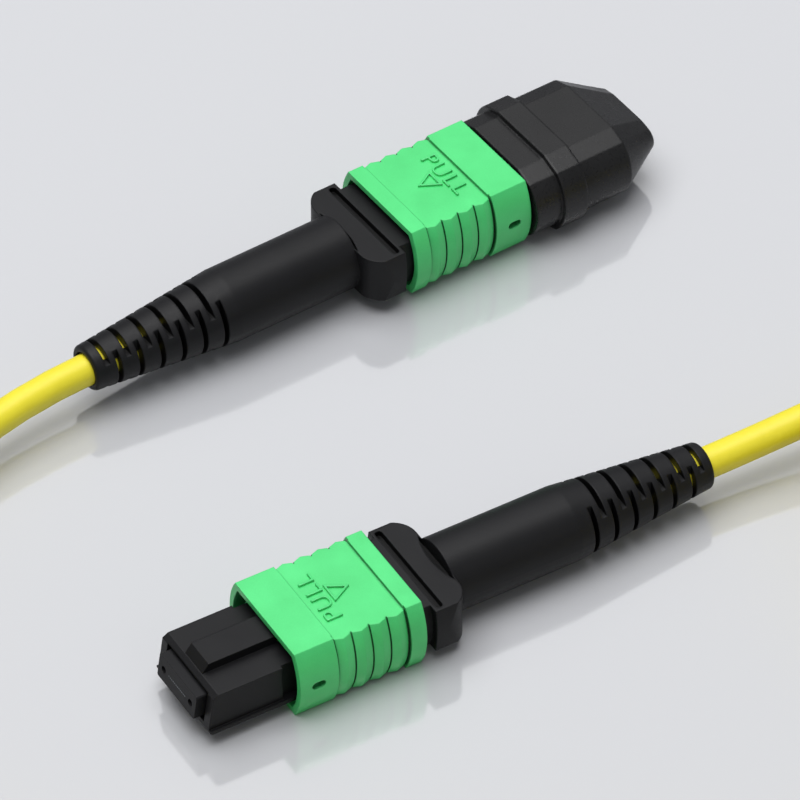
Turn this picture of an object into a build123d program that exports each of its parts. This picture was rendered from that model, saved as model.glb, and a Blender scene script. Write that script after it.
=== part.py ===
from build123d import *
import math
import os

os.makedirs("parts", exist_ok=True)

# All sizes are in millimetres and all angles in degrees.
# Each connector is drawn along its own X, nose towards +X, with X = 0 at the lower lip of its nose
# and Y = Z = 0 on its axis. It is then turned and laid on the floor at Z = 0.

# Where the two connectors lie on the floor
lower_nose_place = (-17.9, -36.306)
lower_heading = 210.75
upper_nose_place = (16.1, 32.764)
upper_heading = 34.58

# Coupling sleeve
sleeve_length = 12.7
sleeve_half_height = 3.7
sleeve_flat_half = 5.1
sleeve_bulge = 1.05
sleeve_wall = 0.6
rear_rim_length = 1.65
front_zone_length = 3.95
rib_count = 4
rib_depth = 0.32
rib_groove_width = 0.16
rib_groove_depth = 0.13
panel_depth = 0.3
side_hole_from_front = 1.85
side_hole_length = 1.35
side_hole_height = 0.75
sleeve_travel = 1.0
sleeve_travel_clearance = 0.1

# Front housing: nose, ledge, key and the body inside the sleeve
nose_out = 8.15
nose_half_width = 4.42
nose_top = 1.9
nose_lean = 0.5
nose_chamfer_length = 0.55
nose_chamfer_drop = 0.35
ledge_height = 0.4
ledge_out = 0.3
ledge_chamfer = 0.2
key_half_width = 1.5
key_height = 0.9
key_start = 1.1
key_ramp_length = 0.65
body_start = 8.9
body_half_height = 2.6
housing_length = 19.0
latch_start = 7.4
latch_length = 4.0
latch_depth = 0.35
mouth_depth = 0.9
mouth_half_width = 3.5
mouth_half_height = 1.575
window_from_rear = 0.7
window_length = 1.0
window_half_height = 0.7

# Ferrule, its rubber boot and the clamp behind it
ferrule_out = 0.6
ferrule_length = 8.0
ferrule_width = 6.4
ferrule_height = 2.45
ferrule_face_angle = 8.0
ferrule_edge = 0.12
flange_length = 2.0
flange_width = 7.0
flange_height = 2.9
guide_hole_diameter = 0.7
guide_hole_pitch = 4.6
throat_clearance = 0.1
flange_clearance = 0.05
flange_seat_gap = 0.05
pocket_depth = 4.1
pocket_width = 3.2
pocket_height = 1.1
rubber_clearance = 0.05
rubber_length = 5.7
rubber_slot_width = 2.7
rubber_slot_height = 0.4
ribbon_clearance = 0.05
clamp_length = 2.15
clamp_gap = 0.05
pin_clearance = 0.2
ferrule_travel = 0.6

# Springs
main_wire = 0.4
main_turns = 5
main_coil_clearance = 0.1
side_wire = 0.2
side_turns = 4
side_coil_diameter = 1.2
side_channel_clearance = 0.15
side_channel_from_rear = 2.0
side_channel_length = 4.1
spring_end_gap = 0.03
tab_length = 0.6
tab_gap = 0.1

# Rear housing with its crimp barrel, yarn and crimp sleeve
plug_length = 2.4
plug_clearance = 0.05
collar_length = 1.3
collar_half_width = 4.3
collar_half_height = 2.5
block_length = 5.2
block_half_width = 2.8
block_half_height = 1.3
barrel_length = 6.0
barrel_diameter = 4.4
barrel_bore = 3.0
ribbon_way_width = 3.4
ribbon_way_height = 1.2
barb_out = 0.5
barb_clearance = 0.1
yarn_thickness = 0.2
yarn_clearance = 0.03
crimp_wall = 0.3
crimp_step = 0.3
crimp_neck_length = 2.8
crimp_neck_wall = 0.35
barrel_cord_gap = 0.3

# Boot
boot_start_gap = 0.05
boot_fit = 0.1
bar_flat_half = 4.75
bar_bulge = 0.5
head_half_height = 2.4
head_length = 3.6
slot_from_front = 0.3
slot_length = 0.7
slot_depth = 0.6
slot_half_width = 5.4
lobe_flat_half = 5.75
lobe_bulge = 0.25
lobe_corner = 2.4
scoop_radius = 9.0
scoop_length = 0.6
scoop_depth = 0.4
shaft_lap = 0.1
shaft_length = 12.75
shaft_diameter = 7.2
taper_length = 14.7
tip_diameter = 4.4
tip_round = 0.35
boot_bore = 3.3
flex_slot_count = 6
flex_slot_pitch = 2.15
flex_slot_width = 0.5
flex_tip_length = 1.25
flex_half_span = 57.0

# Dust cap
cap_gap = 0.3
cap_skirt = 2.8
cap_collar = 2.6
cap_collar_out = 0.48
cap_body = 5.2
cap_taper = 4.5
cap_half_height = 3.72
cap_flat_half = 3.5
cap_bevel_out = 1.85
cap_bevel_drop = 0.65
cap_bulge = 1.5
cap_tip_scale = 0.62
cap_tip_half_height = 1.35
cap_edge = 0.3
cap_clearance = 0.15
cap_nose_room = 0.85
cap_ferrule_room = 1.6

# Cord, its coil and the tie round the coil
cord_diameter = 3.0
jacket_clearance = 0.03
coil_place = (59.4, -16.986)
coil_mean_radius = 16.5
coil_half_width = 4.8
coil_height = 9.0
coil_edge = 1.4
tie_thickness = 0.4
tie_arc = 40.0
tie_angle = 20.0

# Stations along the connector, worked out from the sizes above
sleeve_front = -nose_out
sleeve_rear = sleeve_front - sleeve_length
grip_front = sleeve_front - front_zone_length
grip_rear = sleeve_rear + rear_rim_length
nose_bottom = nose_top + ledge_height
ferrule_rear = ferrule_out - ferrule_length
flange_front = ferrule_rear + flange_length
seat = flange_front + flange_seat_gap
clamp_front = ferrule_rear - clamp_gap
clamp_rear = clamp_front - clamp_length
plug_front = -housing_length + plug_length
collar_rear = -housing_length - collar_length
block_rear = collar_rear - block_length
barrel_rear = block_rear - barrel_length
cord_start = barrel_rear - barrel_cord_gap
throat_half_width = ferrule_width / 2 + throat_clearance
throat_half_height = ferrule_height / 2 + throat_clearance
chamber_half_width = flange_width / 2 + 2 * flange_clearance
chamber_half_height = flange_height / 2 + flange_clearance
barrel_radius = barrel_diameter / 2
crimp_inner = barrel_radius + yarn_thickness + 2 * yarn_clearance
crimp_outer = crimp_inner + crimp_wall
crimp_front = block_rear - crimp_step
crimp_rear = barrel_rear - crimp_step / 3
neck_front = crimp_rear - crimp_wall
neck_inner = cord_diameter / 2 + jacket_clearance
neck_outer = neck_inner + crimp_neck_wall
neck_rear = neck_front - crimp_neck_length
window_rear = -housing_length + window_from_rear
window_front = window_rear + window_length
side_channel_rear = -housing_length + side_channel_from_rear
side_channel_front = side_channel_rear + side_channel_length
tab_front = side_channel_front - tab_gap
tab_rear = tab_front - tab_length
side_channel_floor = nose_half_width - side_channel_clearance * 2.5
side_spring_centre = side_channel_floor + side_channel_clearance + side_coil_diameter / 2
boot_front = collar_rear - boot_start_gap
sleeve_back = sleeve_rear - sleeve_travel - sleeve_travel_clearance
head_front = min(sleeve_back, boot_front - slot_from_front)
head_rear = head_front - head_length
slot_front = head_front - slot_from_front
shaft_front = head_rear + shaft_lap
taper_front = head_rear - shaft_length
boot_rear = taper_front - taper_length
cap_rear = sleeve_front + cap_gap
cap_collar_rear = cap_rear + cap_skirt
cap_collar_front = cap_collar_rear + cap_collar
cap_taper_rear = cap_collar_front + cap_body
cap_tip = cap_taper_rear + cap_taper

# The lower connector rests on its sleeve and the upper one on the collar of its cap.
lower_axis_height = sleeve_half_height
upper_axis_height = cap_half_height + cap_collar_out
lower_place = Location((*lower_nose_place, lower_axis_height), (0, 0, lower_heading))
upper_place = Location((*upper_nose_place, upper_axis_height), (0, 0, upper_heading))


def across(face, start, end):
    """A prism of a YZ face from one station to another."""
    low = min(start, end)
    return extrude(Plane.YZ.offset(low) * face, amount=abs(end - start))


def along(points, half_width):
    """A prism of an XZ outline, as wide to each side of the axis."""
    outline = make_face(Polyline(*points, close=True).edges())
    return extrude(Plane.XZ * outline, amount=half_width, both=True)


def block(start, end, half_width, low, high):
    """A plain block between two stations."""
    middle = ((start + end) / 2, 0, (low + high) / 2)
    return Pos(*middle) * Box(abs(end - start), 2 * half_width, high - low)


def rod(start, end, radius):
    """A cylinder on the axis between two stations."""
    low = min(start, end)
    return extrude(Plane.YZ.offset(low) * Circle(radius), amount=abs(end - start))


def barrel_face(flat_half, bulge, half_height):
    """Flat top and bottom with sides bowed out in an arc."""
    top = Line((-flat_half, half_height), (flat_half, half_height))
    right = ThreePointArc((flat_half, half_height), (flat_half + bulge, 0), (flat_half, -half_height))
    bottom = Line((flat_half, -half_height), (-flat_half, -half_height))
    left = ThreePointArc((-flat_half, -half_height), (-flat_half - bulge, 0), (-flat_half, half_height))
    return make_face([top, right, bottom, left])


def cap_face(scale, half_height, grow=0.0):
    """The dust cap's section: flat, bevelled at the corners, bowed at the sides."""
    flat = cap_flat_half * scale + grow * 0.4
    corner = (cap_flat_half + cap_bevel_out) * scale + grow * 0.9
    side = corner + cap_bulge * scale
    top = half_height + grow
    shoulder = half_height * (1 - cap_bevel_drop / cap_half_height) + grow * 0.8
    edges = [
        Line((-flat, top), (flat, top)),
        Line((flat, top), (corner, shoulder)),
        ThreePointArc((corner, shoulder), (side, 0), (corner, -shoulder)),
        Line((corner, -shoulder), (flat, -top)),
        Line((flat, -top), (-flat, -top)),
        Line((-flat, -top), (-corner, -shoulder)),
        ThreePointArc((-corner, -shoulder), (-side, 0), (-corner, shoulder)),
        Line((-corner, shoulder), (-flat, top)),
    ]
    return make_face(edges)


def wound_wire(start, end, half_width, half_height, wire, turns, corner):
    """A wire wound round a rounded rectangle, from one station to another."""
    front = max(start, end) - wire / 2
    pitch = (abs(end - start) - wire) / turns
    corners = [(half_width, half_height), (-half_width, half_height)]
    corners += [(-half_width, -half_height), (half_width, -half_height)]
    points = []
    for step in range(4 * turns + 1):
        y, z = corners[step % 4]
        points.append((front - pitch * step / 4, y, z))
    path = FilletPolyline(*points, radius=corner)
    section = Plane(origin=path @ 0, z_dir=path % 0) * Circle(wire / 2)
    return sweep(section, path)


def coupling_sleeve():
    """The green sleeve that slides back to free the latches."""
    crest = barrel_face(sleeve_flat_half, sleeve_bulge, sleeve_half_height)
    valley = barrel_face(sleeve_flat_half - rib_depth, sleeve_bulge, sleeve_half_height)
    front_zone = across(crest, grip_front, sleeve_front)
    rear_rim = across(crest, sleeve_rear, grip_rear)
    pitch = (grip_front - grip_rear) / rib_count
    sections = []
    for step in range(2 * rib_count + 1):
        face = valley if step % 2 == 0 else crest
        sections.append(Plane.YZ.offset(grip_rear + pitch * step / 2) * face)
    grip = loft(sections, ruled=True)
    shell = front_zone + rear_rim + grip
    groove_core = barrel_face(sleeve_flat_half - rib_depth - rib_groove_depth, sleeve_bulge,
                              sleeve_half_height)
    for step in range(rib_count + 1):
        groove_rear = grip_rear + pitch * step - rib_groove_width / 2
        groove_front = groove_rear + rib_groove_width
        groove = across(crest, groove_rear, groove_front) - across(groove_core, groove_rear,
                                                                   groove_front)
        shell -= groove
    for side in (-1, 1):
        panel_middle = side * (sleeve_half_height - panel_depth / 2)
        shell -= block(grip_rear, grip_front, sleeve_flat_half + sleeve_bulge,
                       panel_middle - panel_depth / 2, panel_middle + panel_depth / 2)
    inner = barrel_face(sleeve_flat_half - 0.75 * sleeve_wall, sleeve_bulge - 0.25 * sleeve_wall,
                        sleeve_half_height - sleeve_wall)
    shell -= across(inner, sleeve_rear - 1, sleeve_front + 1)
    hole_middle = sleeve_front - side_hole_from_front
    hole = SlotOverall(side_hole_length, side_hole_height)
    shell -= Pos(hole_middle, 0, 0) * extrude(Plane.XZ * hole, amount=2 * sleeve_flat_half, both=True)
    inner_side = sleeve_flat_half + sleeve_bulge - sleeve_wall
    tab_low = side_channel_floor + side_channel_clearance
    for side in (-1, 1):
        tab_middle = side * (tab_low + inner_side + sleeve_wall / 2) / 2
        tab = Box(tab_length, inner_side + sleeve_wall / 2 - tab_low, side_coil_diameter)
        shell += Pos((tab_front + tab_rear) / 2, tab_middle, 0) * tab
    return shell


def front_housing():
    """The black nose with its key, and the body that runs back inside the sleeve."""
    nose = along([(0, -nose_top), (-nose_lean, nose_top - nose_chamfer_drop),
                  (-nose_lean - nose_chamfer_length, nose_top),
                  (-housing_length, nose_top), (-housing_length, -nose_top)], nose_half_width)
    ledge = along([(-ledge_chamfer, -nose_bottom), (0, -nose_bottom + ledge_chamfer), (0, -nose_top),
                   (-housing_length, -nose_top), (-housing_length, -nose_bottom)],
                  nose_half_width + ledge_out)
    key_top = nose_top + key_height
    key = along([(-key_start, nose_top), (-key_start - key_ramp_length, key_top),
                 (-housing_length, key_top), (-housing_length, nose_top)], key_half_width)
    body = block(-housing_length, -body_start, nose_half_width, -body_half_height, body_half_height)
    shell = nose + ledge + key + body
    shell -= block(-mouth_depth, 1, mouth_half_width, -mouth_half_height, mouth_half_height)
    shell -= block(seat, 1, throat_half_width, -throat_half_height, throat_half_height)
    shell -= block(-housing_length - 1, seat, chamber_half_width, -chamber_half_height,
                   chamber_half_height)
    shell -= block(window_rear, window_front, 2 * nose_half_width, -window_half_height,
                   window_half_height)
    latch_middle = -latch_start - latch_length / 2
    channel_middle = (side_channel_rear + side_channel_front) / 2
    channel_half_height = side_coil_diameter / 2 + side_channel_clearance
    for side in (-1, 1):
        notch = Box(latch_length, 2 * latch_depth, 2 * nose_top)
        shell -= Pos(latch_middle, side * nose_half_width, 0) * notch
        channel = Box(side_channel_length, 2 * nose_half_width, 2 * channel_half_height)
        shell -= Pos(channel_middle, side * (side_channel_floor + nose_half_width), 0) * channel
    return shell


def ferrule():
    """The block that holds the fibre ends, with its slanted face, flange and guide holes."""
    half_height = ferrule_height / 2
    slant = half_height * math.tan(math.radians(ferrule_face_angle))
    shank = along([(ferrule_out + slant, -half_height), (ferrule_out - slant, half_height),
                   (ferrule_rear, half_height), (ferrule_rear, -half_height)], ferrule_width / 2)
    long_edges = shank.edges().filter_by(Axis.X)
    shank = chamfer(long_edges, ferrule_edge)
    flange = block(ferrule_rear, flange_front, flange_width / 2, -flange_height / 2, flange_height / 2)
    solid = shank + flange
    for side in (-1, 1):
        hole = rod(ferrule_rear - 1, ferrule_out + 1, guide_hole_diameter / 2)
        solid -= Pos(0, side * guide_hole_pitch / 2, 0) * hole
    solid -= block(ferrule_rear - 1, ferrule_rear + pocket_depth, pocket_width / 2,
                   -pocket_height / 2, pocket_height / 2)
    return solid


def ferrule_rubber():
    """The soft sleeve that leads the ribbon into the back of the ferrule."""
    front = ferrule_rear + pocket_depth - rubber_clearance
    half_width = pocket_width / 2 - rubber_clearance
    half_height = pocket_height / 2 - rubber_clearance
    solid = block(front - rubber_length, front, half_width, -half_height, half_height)
    return solid - block(front - rubber_length - 1, front + 1, rubber_slot_width / 2,
                         -rubber_slot_height / 2, rubber_slot_height / 2)


def spacer_clamp():
    """The plate behind the ferrule that the main spring pushes on."""
    solid = block(clamp_rear, clamp_front, flange_width / 2, -flange_height / 2, flange_height / 2)
    solid -= block(clamp_rear - 1, clamp_front + 1, pocket_width / 2 + rubber_clearance,
                   -pocket_height / 2 - rubber_clearance, pocket_height / 2 + rubber_clearance)
    for side in (-1, 1):
        dimple = rod(clamp_front - clamp_length / 2, clamp_front + 1,
                     guide_hole_diameter / 2 + pin_clearance)
        solid -= Pos(0, side * guide_hole_pitch / 2, 0) * dimple
    return solid


def fibre_ribbon():
    """The flat ribbon of fibres from the ferrule to the cord."""
    front = ferrule_rear + pocket_depth - ferrule_travel - 2 * rubber_clearance
    rear = cord_start + ferrule_travel + 4 * rubber_clearance
    half_width = rubber_slot_width / 2 - ribbon_clearance
    half_height = rubber_slot_height / 2 - ribbon_clearance
    return block(rear, front, half_width, -half_height, half_height)


def main_spring():
    """The oval spring that loads the ferrule."""
    half_width = chamber_half_width - main_coil_clearance - main_wire / 2
    half_height = chamber_half_height - main_coil_clearance - main_wire / 2
    return wound_wire(clamp_rear - spring_end_gap, plug_front + spring_end_gap, half_width,
                      half_height, main_wire, main_turns, 0.9 * half_height)


def coupling_springs():
    """The two small springs that return the sleeve."""
    centre_radius = (side_coil_diameter - side_wire) / 2
    coil = wound_wire(tab_rear - spring_end_gap, side_channel_rear + spring_end_gap, centre_radius,
                      centre_radius, side_wire, side_turns, 0.96 * centre_radius)
    return Compound([Pos(0, side * side_spring_centre, 0) * coil for side in (-1, 1)])


def rear_housing():
    """The housing that closes the back, seats the main spring and carries the crimp barrel."""
    plug_half_width = chamber_half_width - plug_clearance
    plug_half_height = chamber_half_height - plug_clearance
    solid = block(-housing_length, plug_front, plug_half_width, -plug_half_height, plug_half_height)
    solid += block(collar_rear, -housing_length, collar_half_width, -collar_half_height,
                   collar_half_height)
    solid += block(block_rear, collar_rear, block_half_width, -block_half_height, block_half_height)
    solid += rod(barrel_rear, block_rear, barrel_radius)
    barb_front = window_front - barb_clearance
    barb_rear = window_rear + barb_clearance
    barb_height = window_half_height - barb_clearance
    barb_half = plug_half_width + barb_out
    barb = make_face(Polyline((barb_front, 0), (barb_rear, barb_half), (barb_rear, -barb_half),
                              close=True).edges())
    solid += Pos(0, 0, -barb_height) * extrude(barb, amount=2 * barb_height)
    solid -= block(block_rear, plug_front + 1, ribbon_way_width / 2, -ribbon_way_height / 2,
                   ribbon_way_height / 2)
    solid -= rod(barrel_rear - 1, block_rear, barrel_bore / 2)
    return solid


def aramid_yarn():
    """The cord's pulling yarn, spread over the barrel under the crimp sleeve."""
    inner = barrel_radius + yarn_clearance
    start = crimp_front - crimp_step
    return rod(barrel_rear, start, inner + yarn_thickness) - rod(barrel_rear - 1, start + 1, inner)


def crimp_sleeve():
    """The metal sleeve crimped over the yarn, with a neck crimped over the jacket."""
    profile = [(crimp_front, crimp_inner), (crimp_front, crimp_outer), (crimp_rear, crimp_outer),
               (neck_front, neck_outer), (neck_rear, neck_outer), (neck_rear, neck_inner),
               (crimp_rear, neck_inner), (crimp_rear, crimp_inner)]
    outline = make_face(Polyline(*profile, close=True).edges())
    return revolve(outline, Axis.X)


def boot_radius(station):
    """Outer radius of the boot's tail at a station."""
    if station >= taper_front:
        return shaft_diameter / 2
    share = (taper_front - station) / taper_length
    return (shaft_diameter + (tip_diameter - shaft_diameter) * share) / 2


def boot():
    """The black rubber boot: lobed head, round shaft and slotted taper."""
    bar = across(barrel_face(bar_flat_half, bar_bulge, head_half_height), boot_front, head_front)
    lobes = across(barrel_face(lobe_flat_half, lobe_bulge, head_half_height), head_front, head_rear)
    plan_half = lobe_flat_half + lobe_bulge
    plan = RectangleRounded(2 * head_length, 2 * plan_half, lobe_corner)
    lobes &= Pos(head_front, 0, -head_half_height) * extrude(plan, amount=2 * head_half_height)
    head = bar + lobes
    slot_middle = slot_front - slot_length / 2
    scoop_centre = shaft_front + scoop_length - scoop_radius
    scoop_room = block(shaft_front, shaft_front + scoop_length, lobe_flat_half, -head_half_height,
                       head_half_height)
    for side in (-1, 1):
        slot = extrude(RectangleRounded(slot_length, 2 * slot_half_width, 0.45 * slot_length),
                       amount=slot_depth)
        slot_low = head_half_height - slot_depth if side > 0 else -head_half_height
        head -= Pos(slot_middle, 0, slot_low) * slot
        scoop = extrude(Circle(scoop_radius), amount=scoop_depth)
        scoop_low = head_half_height - scoop_depth if side > 0 else -head_half_height
        head -= (Pos(scoop_centre, 0, scoop_low) * scoop) & scoop_room
    tail_profile = make_face(Polyline((shaft_front, 0), (shaft_front, shaft_diameter / 2),
                                      (taper_front, shaft_diameter / 2),
                                      (boot_rear, tip_diameter / 2), (boot_rear, 0),
                                      close=True).edges())
    tail = revolve(tail_profile, Axis.X)
    tip_edge = tail.edges().filter_by(GeomType.CIRCLE).sort_by(Axis.X)[0]
    tail = fillet(tip_edge, tip_round)
    for number in range(flex_slot_count):
        for quarter in range(4):
            offset = flex_slot_pitch * number + (flex_slot_pitch / 2 if quarter % 2 else 0)
            station = boot_rear + flex_tip_length + offset
            floor = boot_radius(station) * math.cos(math.radians(flex_half_span))
            cutter = Pos(station, 0, floor + shaft_diameter) * Box(flex_slot_width,
                                                                   2 * shaft_diameter,
                                                                   2 * shaft_diameter)
            tail -= Rot(90 * quarter, 0, 0) * cutter
    solid = head + tail
    cavity_half_width = block_half_width + boot_fit
    cavity_half_height = block_half_height + boot_fit
    solid -= block(block_rear - boot_fit, boot_front + 1, cavity_half_width, -cavity_half_height,
                   cavity_half_height)
    solid -= rod(neck_rear - boot_fit, block_rear, crimp_outer + boot_fit)
    solid -= rod(boot_rear - 1, neck_rear, boot_bore / 2)
    return solid


def dust_cap():
    """The cap pushed over the nose, with its collar and wedge-shaped end."""
    body = across(cap_face(1, cap_half_height), cap_rear, cap_taper_rear)
    collar = across(cap_face(1, cap_half_height, cap_collar_out), cap_collar_rear, cap_collar_front)
    wedge_rear = Plane.YZ.offset(cap_taper_rear) * cap_face(1, cap_half_height)
    wedge_tip = Plane.YZ.offset(cap_tip) * cap_face(cap_tip_scale, cap_tip_half_height)
    wedge = loft([wedge_rear, wedge_tip], ruled=True)
    tip_edges = wedge.faces().sort_by(Axis.X)[-1].edges()
    wedge = fillet(tip_edges, cap_edge)
    solid = body + collar + wedge
    room = cap_clearance
    solid -= block(cap_rear - 1, cap_nose_room, nose_half_width + room, -nose_top, nose_top + room)
    solid -= block(cap_rear - 1, cap_nose_room, nose_half_width + ledge_out + room,
                   -nose_bottom - room, -nose_top + room)
    solid -= block(cap_rear - 1, cap_nose_room, key_half_width + room, 0,
                   nose_top + key_height + room)
    solid -= block(0, cap_ferrule_room, ferrule_width / 2 + 2 * room, -ferrule_height / 2 - 2 * room,
                   ferrule_height / 2 + 2 * room)
    return solid


def route_from(place, shift):
    """The cord's first points: inside the boot, with a slight lean, and just past its end."""
    start = place * Pos(cord_start, 0, 0)
    middle = place * Pos((cord_start + boot_rear) / 2, shift, shift)
    return [tuple(start.position), tuple(middle.position)]


def corner_radii(points):
    """For each corner of a route, the largest arc that its two runs allow."""
    radii = []
    for before, corner, after in zip(points, points[1:], points[2:]):
        run_in = Vector(*corner) - Vector(*before)
        run_out = Vector(*after) - Vector(*corner)
        turn = math.radians(run_in.get_angle(run_out))
        radii.append(0.45 * min(run_in.length, run_out.length) / math.tan(turn / 2))
    return radii


def cord_tube(name, points):
    """A tube of the cord along a route of straight runs and tangent arcs."""
    radii = corner_radii(points)
    path = FilletPolyline(*points, radius=radii)
    section = Plane(origin=path @ 0, z_dir=path % 0) * Circle(cord_diameter / 2)
    tube = sweep(section, path)
    expected = math.pi * (cord_diameter / 2) ** 2 * path.length
    print(name, "length", round(path.length, 1), "radii", [round(r, 1) for r in radii],
          "volume", round(tube.volume, 1), "of", round(expected, 1))
    return tube


def cable_coil():
    """The outer shape of the wound cord."""
    section = Pos(coil_mean_radius, tie_thickness + coil_height / 2)
    face = section * RectangleRounded(2 * coil_half_width, coil_height, coil_edge)
    return Pos(*coil_place, 0) * revolve(Plane.XZ * face, Axis.Z)


def coil_tie():
    """The band that holds the turns together."""
    section = Pos(coil_mean_radius, tie_thickness + coil_height / 2)
    inner = RectangleRounded(2 * coil_half_width, coil_height, coil_edge)
    outer = RectangleRounded(2 * (coil_half_width + tie_thickness),
                             coil_height + 2 * tie_thickness, coil_edge + tie_thickness)
    face = Plane.XZ * (section * outer - section * inner)
    band = revolve(face, Axis.Z, revolution_arc=tie_arc)
    return Pos(*coil_place, 0) * Rot(0, 0, tie_angle - tie_arc / 2) * band


# The cord's route on the floor, chosen by hand: from each boot, and round the front to the coil
lower_route = [
    (31.1, -7.156, 3.65),
    (42.3, -1.186, 5),
    (51, 2.014, 6.9),
    (59.4, 2.814, 7.9),
]
upper_route = [
    (-36.3, -3.506, 4.1),
    (-42.2, -14.286, 3),
    (-43.2, -28.386, 1.9),
    (-43.2, -41.486, 1.5),
    (-38.4, -49.686, 1.5),
    (-30.2, -54.486, 1.5),
    (-14.5, -54.886, 1.5),
    (10.8, -53.586, 1.5),
    (33.8, -54.186, 1.5),
    (53.8, -50.186, 1.5),
    (67.9, -39.786, 1.6),
    (75.23, -28.876, 1.9),
]

pieces = {
    "coupling_sleeve": coupling_sleeve(),
    "front_housing": front_housing(),
    "ferrule": ferrule(),
    "ferrule_rubber": ferrule_rubber(),
    "spacer_clamp": spacer_clamp(),
    "fibre_ribbon": fibre_ribbon(),
    "main_spring": main_spring(),
    "coupling_springs": coupling_springs(),
    "rear_housing": rear_housing(),
    "aramid_yarn": aramid_yarn(),
    "crimp_sleeve": crimp_sleeve(),
    "boot": boot(),
}

nodes = {}
for name, piece in pieces.items():
    nodes["lower_" + name] = lower_place * piece
    nodes["upper_" + name] = upper_place * piece
nodes["dust_cap"] = upper_place * dust_cap()
nodes["cable_run_lower"] = cord_tube("lower run", route_from(lower_place, 0.06) + lower_route)
nodes["cable_run_upper"] = cord_tube("upper run", route_from(upper_place, 0.06) + upper_route)
nodes["cable_coil"] = cable_coil()
nodes["coil_tie"] = coil_tie()

for name, solid in nodes.items():
    export_step(solid, f"parts/{name}.step")

cord_names = ("cable_run_lower", "cable_run_upper", "cable_coil", "coil_tie")
hard = Compound([solid for name, solid in nodes.items() if name not in cord_names])
box = hard.bounding_box()
print("connectors", [round(v, 3) for v in (*box.min, *box.max)])
print("centre", round((box.min.X + box.max.X) / 2, 3), round((box.min.Y + box.max.Y) / 2, 3))
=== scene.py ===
import math

import bpy
from mathutils import Matrix, Vector


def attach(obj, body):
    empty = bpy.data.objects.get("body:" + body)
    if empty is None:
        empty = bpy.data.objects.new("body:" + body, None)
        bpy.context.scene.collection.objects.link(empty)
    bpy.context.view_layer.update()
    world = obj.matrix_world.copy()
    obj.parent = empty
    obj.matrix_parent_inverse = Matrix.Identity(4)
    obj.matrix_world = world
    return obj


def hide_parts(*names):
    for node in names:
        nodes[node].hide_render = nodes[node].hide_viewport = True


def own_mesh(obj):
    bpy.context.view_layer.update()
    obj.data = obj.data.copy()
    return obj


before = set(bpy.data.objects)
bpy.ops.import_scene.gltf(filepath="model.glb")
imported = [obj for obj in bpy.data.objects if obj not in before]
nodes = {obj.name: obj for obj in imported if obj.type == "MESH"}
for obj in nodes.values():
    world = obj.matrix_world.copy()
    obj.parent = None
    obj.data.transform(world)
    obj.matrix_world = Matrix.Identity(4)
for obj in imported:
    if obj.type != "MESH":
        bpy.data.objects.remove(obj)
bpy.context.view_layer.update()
mm = 0.001

# Each connector's nose point in millimetres, and its heading in degrees
places = {
    "lower": {"nose": (-17.9, -36.306, 3.7), "heading": 210.75},
    "upper": {"nose": (16.1, 32.764, 4.2), "heading": 34.58},
}


def placeOf(end):
    place = places[end]
    turn = Matrix.Rotation(math.radians(place["heading"]), 4, "Z")
    return Matrix.Translation(Vector(place["nose"]) * mm) @ turn


# The camera looks from the front and above, as the photograph does
cameraSettings = {
    "target": (0.79, 3.024, 0.0),
    "distance": 649.06,
    "elevation": 43.55,
    "lens": 323.0,
    "sensor": 36.0,
    "nearest": 10.0,
    "farthest": 20000.0,
}


def setCamera(settings):
    slope = math.radians(settings["elevation"])
    away = Vector((0, -math.cos(slope), math.sin(slope))) * settings["distance"] * mm
    bpy.ops.object.camera_add(location=Vector(settings["target"]) * mm + away,
                              rotation=(math.pi / 2 - slope, 0, 0))
    camera = bpy.context.active_object
    camera.data.lens = settings["lens"]
    camera.data.sensor_width = settings["sensor"]
    camera.data.clip_start = settings["nearest"] * mm
    camera.data.clip_end = settings["farthest"] * mm
    bpy.context.scene.camera = camera


setCamera(cameraSettings)
print("camera set")


class Wire:  # a node's output that sums can be written with
    def __init__(self, shader, socket):
        self.shader = shader
        self.socket = socket

    def maths(self, operation, *values):
        settings = {"operation": operation}
        return self.shader.node("ShaderNodeMath", settings, dict(enumerate(values)))

    def __add__(self, other):
        return self.maths("ADD", self, other)

    def __radd__(self, other):
        return self.maths("ADD", other, self)

    def __sub__(self, other):
        return self.maths("SUBTRACT", self, other)

    def __rsub__(self, other):
        return self.maths("SUBTRACT", other, self)

    def __mul__(self, other):
        return self.maths("MULTIPLY", self, other)

    def __rmul__(self, other):
        return self.maths("MULTIPLY", other, self)


# How painted shade is laid in hollows and how rounded edges are felt: samples, and what
# counts as closed in or open
shadeAndEdgeSettings = {"hollowSamples": 8, "closed": 0.36, "open": 0.72, "edgeSamples": 6}


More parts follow.
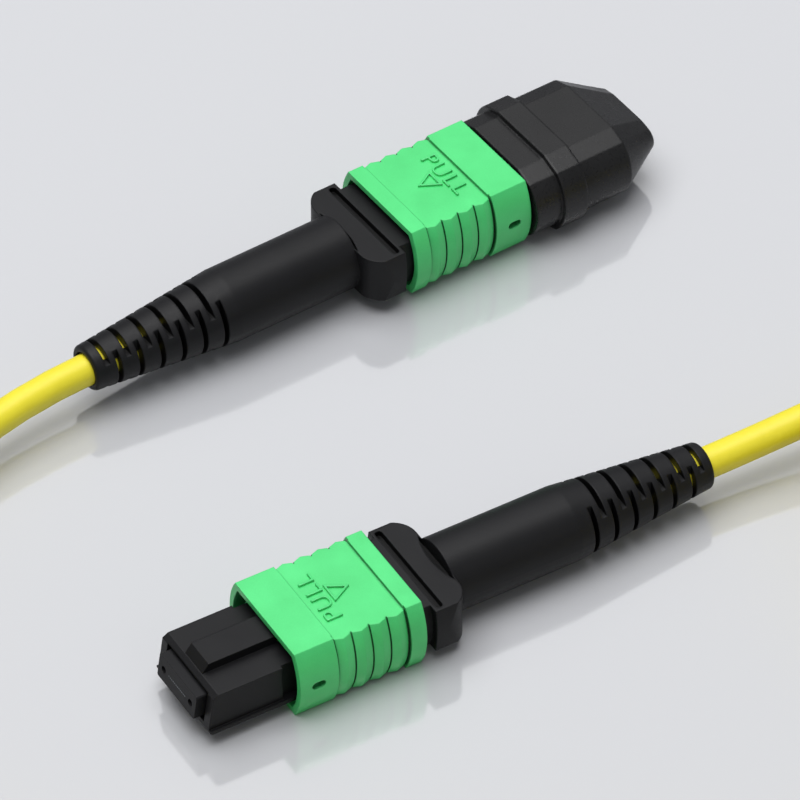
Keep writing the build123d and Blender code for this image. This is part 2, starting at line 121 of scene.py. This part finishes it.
class Shader:  # one material and the nodes in it
    def __init__(self, name):
        self.material = bpy.data.materials.new(name)
        self.material.use_nodes = True
        self.tree = self.material.node_tree
        self.bsdf = self.tree.nodes["Principled BSDF"]

    def node(self, kind, settings=None, inputs=None, output=0):
        made = self.tree.nodes.new(kind)
        for name, value in (settings or {}).items():
            setattr(made, name, value)
        for name, value in (inputs or {}).items():
            self.feed(made.inputs[name], value)
        return Wire(self, made.outputs[output])

    def feed(self, socket, value):
        if isinstance(value, Wire):
            self.tree.links.new(value.socket, socket)
        else:
            socket.default_value = value

    def here(self):
        return self.node("ShaderNodeTexCoord", output="Object")

    def noise(self, size, detail):
        return self.node("ShaderNodeTexNoise", {},
                         {"Vector": self.here(), "Scale": 1 / (size * mm), "Detail": detail})

    def spread(self, value, low, high, toLow=0.0, toHigh=1.0):
        return self.node("ShaderNodeMapRange", {},
                         {"Value": value, "From Min": low, "From Max": high,
                          "To Min": toLow, "To Max": toHigh})

    def mix(self, share, first, second):
        return self.node("ShaderNodeMix", {"data_type": "RGBA"},
                         {0: share, 6: first, 7: second}, output=2)

    def openness(self, reach):  # 1 on faces and at plain corners, 0 deep in holes; painted shade goes where it is low
        samples = {"samples": shadeAndEdgeSettings["hollowSamples"], "only_local": True}
        seen = self.node("ShaderNodeAmbientOcclusion", samples, {"Distance": reach * mm},
                         output="AO")
        return self.spread(seen, shadeAndEdgeSettings["closed"], shadeAndEdgeSettings["open"])

    def bump(self, height, depth, edge=0.0):
        inputs = {"Height": height, "Distance": depth * mm}
        if edge:
            samples = {"samples": shadeAndEdgeSettings["edgeSamples"]}
            inputs["Normal"] = self.node("ShaderNodeBevel", samples, {"Radius": edge * mm})
        return self.node("ShaderNodeBump", {}, inputs)

    def set(self, **values):
        for name, value in values.items():
            self.feed(self.bsdf.inputs[name.replace("_", " ")], value)
        return self.material


def colour(red, green, blue):
    return (red, green, blue, 1.0)


plastics = {
    "greenPlastic": {
        "base": (0.075, 0.65, 0.195), "dark": (0.055, 0.54, 0.15), "rough": 0.36,
        "grain": 0.12, "depth": 0.003, "edge": 0.16, "specular": 0.45,
        # Painted shade: holes, slots and grooves darken towards this colour
        "hollow": (0.002, 0.02, 0.006), "reach": 2.0,
    },
    "blackPlastic": {
        "base": (0.0085, 0.0085, 0.0095), "dark": (0.006, 0.006, 0.007), "rough": 0.4,
        "grain": 0.15, "depth": 0.003, "edge": 0.12, "specular": 0.18,
    },
    "capPlastic": {
        "base": (0.0115, 0.0115, 0.012), "dark": (0.008, 0.008, 0.0085), "rough": 0.3,
        "grain": 0.3, "depth": 0.002, "edge": 0.3, "specular": 0.3,
    },
    "ferrulePolymer": {
        "base": (0.01, 0.01, 0.0115), "dark": (0.007, 0.007, 0.008), "rough": 0.45,
        "grain": 0.06, "depth": 0.003, "edge": 0.05, "specular": 0.15,
    },
    "bootRubber": {
        "base": (0.0085, 0.0085, 0.0095), "dark": (0.006, 0.006, 0.007), "rough": 0.46,
        "grain": 0.2, "depth": 0.005, "edge": 0.2, "specular": 0.2,
        # Painted shade: slots and hollows darken towards near black
        "hollow": (0.001, 0.001, 0.001), "reach": 1.6,
    },
    "whitePlastic": {
        "base": (0.75, 0.75, 0.72), "dark": (0.62, 0.62, 0.6), "rough": 0.45,
        "grain": 0.1, "depth": 0.006, "edge": 0.08, "specular": 0.5,
    },
    "ribbonPlastic": {
        "base": (0.45, 0.62, 0.7), "dark": (0.35, 0.5, 0.6), "rough": 0.35,
        "grain": 0.3, "depth": 0.004, "edge": 0.03, "specular": 0.5,
    },
    "fibreGlass": {
        "base": (0.16, 0.18, 0.2), "dark": (0.1, 0.12, 0.13), "rough": 0.15,
        "grain": 0.05, "depth": 0.001, "edge": 0.01, "specular": 0.5,
    },
}
# What all the plastics share: broad clouds, fine grain, and how far the roughness varies
plasticPattern = {"cloud": 4.0, "cloudDetail": 2.0, "grainDetail": 4.0, "cloudShare": 0.7,
                  "low": 0.3, "high": 0.7, "smoother": 0.05, "rougher": 0.06}


def mouldedPlastic(name, settings, pattern):
    shader = Shader(name)
    low, high, share = pattern["low"], pattern["high"], pattern["cloudShare"]
    cloud = shader.noise(pattern["cloud"], pattern["cloudDetail"])
    grain = shader.noise(settings["grain"], pattern["grainDetail"])
    tone = shader.spread(cloud * share + grain * (1 - share), low, high)
    base = shader.mix(tone, colour(*settings["dark"]), colour(*settings["base"]))
    # Painted shade: the piece's own ambient occlusion darkens the base colour in holes,
    # slots and grooves
    if "hollow" in settings:
        hollow = colour(*settings["hollow"])
        base = shader.mix(shader.openness(settings["reach"]), hollow, base)
    rough = shader.spread(grain, low, high, settings["rough"] - pattern["smoother"],
                          settings["rough"] + pattern["rougher"])
    normal = shader.bump(grain, settings["depth"], settings["edge"])
    return shader.set(Base_Color=base, Roughness=rough, Normal=normal,
                      Specular_IOR_Level=settings["specular"])


metals = {
    "springSteel": {"base": (0.55, 0.55, 0.56), "rough": 0.3},
    "crimpMetal": {"base": (0.72, 0.72, 0.74), "rough": 0.35},
}
metalPattern = {"line": 0.15, "detail": 3.0, "darken": 0.75, "depth": 0.01, "edge": 0.04,
                "low": 0.3, "high": 0.7, "vary": 0.08}


def brushedMetal(name, settings, pattern):
    shader = Shader(name)
    lines = shader.noise(pattern["line"], pattern["detail"])
    dark = tuple(part * pattern["darken"] for part in settings["base"])
    tone = shader.mix(lines, colour(*dark), colour(*settings["base"]))
    rough = shader.spread(lines, pattern["low"], pattern["high"],
                          settings["rough"] - pattern["vary"],
                          settings["rough"] + pattern["vary"])
    normal = shader.bump(lines, pattern["depth"], pattern["edge"])
    return shader.set(Base_Color=tone, Metallic=1.0, Normal=normal, Roughness=rough)


jacketSettings = {
    "base": (0.71, 0.61, 0.02),
    "pale": (0.77, 0.67, 0.03),
    "cloud": 9.0,
    "cloudDetail": 2.0,
    "cloudShare": 0.6,
    "ripple": 0.8,
    "grain": 0.12,
    "detail": 3.0,
    "rippleShare": 0.7,
    "depth": 0.012,
    "low": 0.3,
    "high": 0.7,
    "smoothest": 0.37,
    "roughest": 0.49,
}


def jacketMaterial(settings):
    shader = Shader("yellowJacket")
    low, high = settings["low"], settings["high"]
    toneShare, heightShare = settings["cloudShare"], settings["rippleShare"]
    cloud = shader.noise(settings["cloud"], settings["cloudDetail"])
    ripple = shader.noise(settings["ripple"], settings["detail"])
    grain = shader.noise(settings["grain"], settings["detail"])
    tone = shader.spread(cloud * toneShare + ripple * (1 - toneShare), low, high)
    base = shader.mix(tone, colour(*settings["base"]), colour(*settings["pale"]))
    rough = shader.spread(grain, low, high, settings["smoothest"], settings["roughest"])
    height = ripple * heightShare + grain * (1 - heightShare)
    return shader.set(Base_Color=base, Roughness=rough,
                      Normal=shader.bump(height, settings["depth"]))


tapeSettings = {"dark": (0.008, 0.008, 0.009), "pale": (0.035, 0.035, 0.037), "rough": 0.9,
                "loopsPerMetre": 2600.0, "loopShare": 0.6, "fuzz": 0.25, "fuzzDetail": 5.0,
                "depth": 0.2, "sheen": 0.3}


def tapeMaterial(settings):
    shader = Shader("tieTape")
    share = settings["loopShare"]
    loops = shader.node("ShaderNodeTexVoronoi", {},
                        {"Vector": shader.here(), "Scale": settings["loopsPerMetre"]})
    fuzz = shader.noise(settings["fuzz"], settings["fuzzDetail"])
    height = (1 - loops) * share + fuzz * (1 - share)
    base = shader.mix(height, colour(*settings["dark"]), colour(*settings["pale"]))
    return shader.set(Base_Color=base, Roughness=settings["rough"],
                      Normal=shader.bump(height, settings["depth"]),
                      Sheen_Weight=settings["sheen"])


yarnSettings = {"dark": (0.5, 0.38, 0.08), "pale": (0.8, 0.66, 0.25), "rough": 0.7,
                "strand": 0.1, "detail": 4.0, "depth": 0.05}


def yarnMaterial(settings):
    shader = Shader("aramidYarn")
    strands = shader.noise(settings["strand"], settings["detail"])
    base = shader.mix(strands, colour(*settings["dark"]), colour(*settings["pale"]))
    return shader.set(Base_Color=base, Roughness=settings["rough"],
                      Normal=shader.bump(strands, settings["depth"]))


finishes = {}
for name, settings in plastics.items():
    finishes[name] = mouldedPlastic(name, settings, plasticPattern)
for name, settings in metals.items():
    finishes[name] = brushedMetal(name, settings, metalPattern)
finishes["yellowJacket"] = jacketMaterial(jacketSettings)
finishes["tieTape"] = tapeMaterial(tapeSettings)
finishes["aramidYarn"] = yarnMaterial(yarnSettings)

finishOfNode = {
    "coupling_sleeve": "greenPlastic",
    "front_housing": "blackPlastic",
    "ferrule": "ferrulePolymer",
    "ferrule_rubber": "bootRubber",
    "spacer_clamp": "whitePlastic",
    "fibre_ribbon": "ribbonPlastic",
    "main_spring": "springSteel",
    "coupling_springs": "springSteel",
    "rear_housing": "blackPlastic",
    "aramid_yarn": "aramidYarn",
    "crimp_sleeve": "crimpMetal",
    "boot": "bootRubber",
    "dust_cap": "capPlastic",
    "coil_tie": "tieTape",
    "cable_coil": "yellowJacket",
    "cable_run_lower": "yellowJacket",
    "cable_run_upper": "yellowJacket",
}


def paint(piece, finish):
    piece.data.materials.clear()
    piece.data.materials.append(finishes[finish])


for name, node in nodes.items():
    kind = name.replace("lower_", "").replace("upper_", "")
    paint(node, finishOfNode[kind])
print("materials made")


# The cord: one line from boot to boot, wound into the coil on its way
cordSettings = {
    "diameter": 3.0,
    "coilCentre": (59.4, -16.986),
    "outerRadius": 19.8,
    "layerHeights": (1.9, 4.9, 7.9),
    "turnPitch": 3.0,
    "turns": 6.3525,
    "turnsInLayer": 2,
    "startAngle": -36.9,
    "tieTurn": 0.158,  # where a turn passes under the tie, and changes layer there
    "middleInset": 0.3,
    "changeTurns": 0.04,
    "pointsPerTurn": 18,
    "cornerAngle": 9.0,
    "segments": 5,
    "sides": 6,
}
upperRoute = [  # millimetres, from inside the upper boot round the front to the coil
    (-7.65, 16.364, 4.2),
    (-17.6, 9.514, 4.24),
    (-36.3, -3.506, 4.1),
    (-42.2, -14.286, 3.0),
    (-43.2, -28.386, 1.9),
    (-43.2, -41.486, 1.5),
    (-38.4, -49.686, 1.5),
    (-30.2, -54.486, 1.5),
    (-14.5, -54.886, 1.5),
    (10.8, -53.586, 1.5),
    (33.8, -54.186, 1.5),
    (53.8, -50.186, 1.5),
    (67.9, -39.786, 1.6),
]
lowerRoute = [  # from the coil to inside the lower boot
    (51.0, 2.014, 6.9),
    (42.3, -1.186, 5.0),
    (31.1, -7.156, 3.65),
    (17.3, -15.386, 3.74),
    (6.87, -21.566, 3.7),
]


def blendOf(middle, half, value):  # an eased step from 0 to 1 round the middle
    share = min(1, max(0, (value - middle + half) / (2 * half)))
    return share * share * (3 - 2 * share)


def coilPoints(settings):
    bottom, middle, top = settings["layerHeights"]
    outer, pitch, turns = settings["outerRadius"], settings["turnPitch"], settings["turns"]
    centreX, centreY = settings["coilCentre"]
    half = settings["changeTurns"]
    firstChange = settings["tieTurn"] + settings["turnsInLayer"]
    secondChange = firstChange + settings["turnsInLayer"]
    steps = round(turns * settings["pointsPerTurn"])
    points = []
    for step in range(steps + 1):
        turn = turns * step / steps
        inLower = outer - pitch * turn
        inMiddle = outer - settings["middleInset"] - pitch * (turn - firstChange)
        inUpper = outer - pitch * (turns - turn)
        first = blendOf(firstChange, half, turn)
        second = blendOf(secondChange, half, turn)
        radius = inLower + (inMiddle - inLower) * first + (inUpper - inMiddle) * second
        height = bottom + (middle - bottom) * first + (top - middle) * second
        angle = math.radians(settings["startAngle"] + 360 * turn)
        # The line passes inside its points, so they lie a little further out
        reach = radius / math.cos(math.radians(settings["cornerAngle"]))
        points.append((centreX + reach * math.cos(angle),
                       centreY + reach * math.sin(angle), height))
    return points


def makeCord(settings):
    points = upperRoute + coilPoints(settings) + lowerRoute
    curve = bpy.data.curves.new("patchCord", "CURVE")
    curve.dimensions = "3D"
    spline = curve.splines.new("NURBS")
    spline.points.add(len(points) - 1)
    for point, (x, y, z) in zip(spline.points, points):
        point.co = (x * mm, y * mm, z * mm, 1)
    spline.order_u = 3
    spline.use_endpoint_u = True
    spline.resolution_u = settings["segments"]
    curve.bevel_depth = settings["diameter"] / 2 * mm
    curve.bevel_resolution = settings["sides"]
    cord = bpy.data.objects.new("patchCord", curve)
    bpy.context.scene.collection.objects.link(cord)
    paint(cord, "yellowJacket")
    return cord


patchCord = makeCord(cordSettings)
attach(patchCord, "cord")
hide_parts("cable_run_lower", "cable_run_upper", "cable_coil")
print("cord laid")


def deselect():
    bpy.ops.object.select_all(action="DESELECT")


def onlySelect(piece):
    deselect()
    piece.select_set(True)
    bpy.context.view_layer.objects.active = piece


def applyPlace():
    bpy.ops.object.transform_apply(location=True, rotation=True, scale=True)


def settle(piece, end):  # from the connector's own place to where it lies
    piece.matrix_world = placeOf(end) @ piece.matrix_world
    onlySelect(piece)
    applyPlace()


# Raised marks on the sleeves: a word and, behind it, an outlined triangle towards the cord
wordSettings = {"text": "PULL", "size": 2.3, "height": 0.2, "panel": 3.4, "line": -14.32,
                "width": 5.9, "spacing": 1.15, "thicken": -0.03, "edge": 0.02,
                "curveSteps": 4}
markSettings = {"height": 0.2, "panel": 3.4, "line": -14.6, "width": 2.2, "length": 2.0,
                "stroke": 0.2}


def sleeveWord(settings):
    deselect()
    bpy.ops.object.text_add(location=(0, 0, 0))
    word = bpy.context.active_object
    word.data.body = settings["text"]
    word.data.align_x = "CENTER"
    word.data.size = settings["size"] * mm
    word.data.space_character = settings["spacing"]
    word.data.extrude = settings["height"] / 2 * mm
    word.data.offset = settings["thicken"] * mm
    word.data.bevel_depth = settings["edge"] * mm
    word.data.resolution_u = settings["curveSteps"]
    bpy.ops.object.convert(target="MESH")
    word = bpy.context.active_object
    middle = settings["panel"] + settings["height"] / 2
    word.scale.x = settings["width"] * mm / word.dimensions.x
    word.rotation_euler.z = -math.pi / 2
    word.location = (settings["line"] * mm, 0, middle * mm)
    onlySelect(word)
    applyPlace()
    return word


def sleeveMark(settings):
    deselect()
    middle = settings["line"] - settings["length"] / 3
    bpy.ops.mesh.primitive_circle_add(vertices=3, radius=mm, fill_type="NGON",
                                      location=(middle * mm, 0, settings["panel"] * mm),
                                      rotation=(0, 0, math.pi / 2))
    mark = bpy.context.active_object
    plainWidth, plainLength = math.sqrt(3), 1.5  # of a triangle with radius 1
    mark.scale = (settings["width"] / plainWidth, settings["length"] / plainLength, 1)
    applyPlace()
    bpy.ops.object.mode_set(mode="EDIT")
    bpy.ops.mesh.select_all(action="SELECT")
    bpy.ops.mesh.inset(thickness=settings["stroke"] * mm)
    bpy.ops.mesh.delete(type="FACE")
    bpy.ops.object.mode_set(mode="OBJECT")
    raised = mark.modifiers.new("height", "SOLIDIFY")
    raised.thickness = settings["height"] * mm
    raised.offset = 1.0
    bpy.ops.object.modifier_apply(modifier="height")
    return mark


for end in places:
    for kind, make, settings in (("Word", sleeveWord, wordSettings),
                                 ("Mark", sleeveMark, markSettings)):
        raised = make(settings)
        raised.name = end + "Sleeve" + kind
        settle(raised, end)
        paint(raised, "greenPlastic")
        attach(raised, end + "_sleeve")
print("sleeves lettered")

# Twelve fibre ends in a row between the guide holes of each ferrule
fibreSettings = {"count": 12, "pitch": 0.25, "radius": 0.0625, "sides": 12, "face": 0.6,
                 "out": 0.01, "slant": 8.0}


def fibreEnds(settings):
    deselect()
    side = (settings["count"] - 1) / 2 * settings["pitch"]
    turn = math.pi / 2 - math.radians(settings["slant"])
    bpy.ops.mesh.primitive_cylinder_add(vertices=settings["sides"],
                                        radius=settings["radius"] * mm,
                                        depth=2 * settings["out"] * mm,
                                        location=(settings["face"] * mm, -side * mm, 0),
                                        rotation=(0, turn, 0))
    ends = bpy.context.active_object
    applyPlace()
    row = ends.modifiers.new("row", "ARRAY")
    row.count = settings["count"]
    row.use_relative_offset = False
    row.use_constant_offset = True
    row.constant_offset_displace = (0, settings["pitch"] * mm, 0)
    bpy.ops.object.modifier_apply(modifier="row")
    return ends


for end in places:
    ends = fibreEnds(fibreSettings)
    ends.name = end + "FibreEnds"
    settle(ends, end)
    paint(ends, "fibreGlass")
    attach(ends, end + "_ferrule_body")
print("fibre ends set")

# The tape's loose end, pressed down on top of the band
flapSettings = {"length": 8.4, "width": 6.2, "thickness": 0.45, "corner": 1.2,
                "cornerSteps": 6, "height": 9.98, "radius": 16.9, "angle": 20.0}


def tapeFlap(settings):
    deselect()
    bpy.ops.mesh.primitive_cube_add(size=mm)
    flap = bpy.context.active_object
    flap.scale = (settings["length"], settings["width"], settings["thickness"])
    applyPlace()
    corners = flap.modifiers.new("corners", "BEVEL")
    corners.width = settings["corner"] * mm
    corners.segments = settings["cornerSteps"]
    corners.limit_method = "WEIGHT"
    weights = flap.data.attributes.new("bevel_weight_edge", "FLOAT", "EDGE")
    for edge in flap.data.edges:
        low, high = (flap.data.vertices[index].co for index in edge.vertices)
        upright = abs(low.z - high.z) > settings["thickness"] / 2 * mm
        weights.data[edge.index].value = 1.0 if upright else 0.0
    bpy.ops.object.modifier_apply(modifier="corners")
    angle = math.radians(settings["angle"])
    along = Vector((math.cos(angle), math.sin(angle))) * settings["radius"]
    x, y = Vector(cordSettings["coilCentre"]) + along
    flap.rotation_euler.z = angle
    flap.location = (x * mm, y * mm, settings["height"] * mm)
    applyPlace()
    flap.name = "tieFlap"
    return flap


tieFlap = tapeFlap(flapSettings)
paint(tieFlap, "tieTape")
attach(tieFlap, "cord")
print("tie closed")

# Each spring gets a mesh of its own; the joint, fixed end and kept share listed for
# shortening the springs towards their fixed ends as a sleeve or a ferrule slides back are
# not read here
springSettings = {
    "coupling_springs": {"joint": "_sleeve_slide", "fixed": -16.97, "keep": 0.7},
    "main_spring": {"joint": "_ferrule_slide", "fixed": -16.57, "keep": 0.925},
}
for end in places:
    for kind, settings in springSettings.items():
        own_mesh(nodes[end + "_" + kind])

# A plain pale floor that mirrors a little, a dim pale sky and three soft lamps
stageSettings = {
    "floorSize": 6.0,
    "floorDrop": 0.02,
    "floor": (0.47, 0.475, 0.495),
    "floorRough": 0.09,
    "floorIOR": 1.8,
    "floorSpecular": 0.9,
    "sky": (0.93, 0.95, 1.0),
    "skyStrength": 0.25,
}
lamps = {  # metres and watts, each turned to the middle of the object
    "keySoftbox": {"place": (-0.12, 0.05, 0.9), "size": (0.9, 0.9), "power": 12.0},
    "frontFill": {"place": (0.5, -0.7, 0.5), "size": (0.6, 0.6), "power": 0.6},
    "backSoftbox": {"place": (0.0, 1.09, 1.03), "size": (0.9, 0.7), "power": 1.6},
}


def makeFloor(settings):
    shader = Shader("paleFloor")
    shader.set(Base_Color=colour(*settings["floor"]), Roughness=settings["floorRough"],
               IOR=settings["floorIOR"], Specular_IOR_Level=settings["floorSpecular"])
    deselect()
    bpy.ops.mesh.primitive_plane_add(size=settings["floorSize"],
                                     location=(0, 0, -settings["floorDrop"] * mm))
    floor = bpy.context.active_object
    floor.name = "paleFloor"
    applyPlace()
    floor.data.materials.append(shader.material)
    return floor


def makeSky(settings):
    world = bpy.data.worlds.new("studio")
    world.use_nodes = True
    background = world.node_tree.nodes["Background"]
    background.inputs["Color"].default_value = colour(*settings["sky"])
    background.inputs["Strength"].default_value = settings["skyStrength"]
    bpy.context.scene.world = world


def addLamp(name, settings):
    deselect()
    bpy.ops.object.light_add(type="AREA", location=settings["place"])
    lamp = bpy.context.active_object
    lamp.name = name
    lamp.data.shape = "RECTANGLE"
    lamp.data.size, lamp.data.size_y = settings["size"]
    lamp.data.energy = settings["power"]
    lamp.rotation_euler = (-Vector(settings["place"])).to_track_quat("-Z", "Y").to_euler()


floor = makeFloor(stageSettings)
makeSky(stageSettings)
for name, settings in lamps.items():
    addLamp(name, settings)
bpy.context.scene.view_settings.view_transform = "Standard"
print("stage lit")
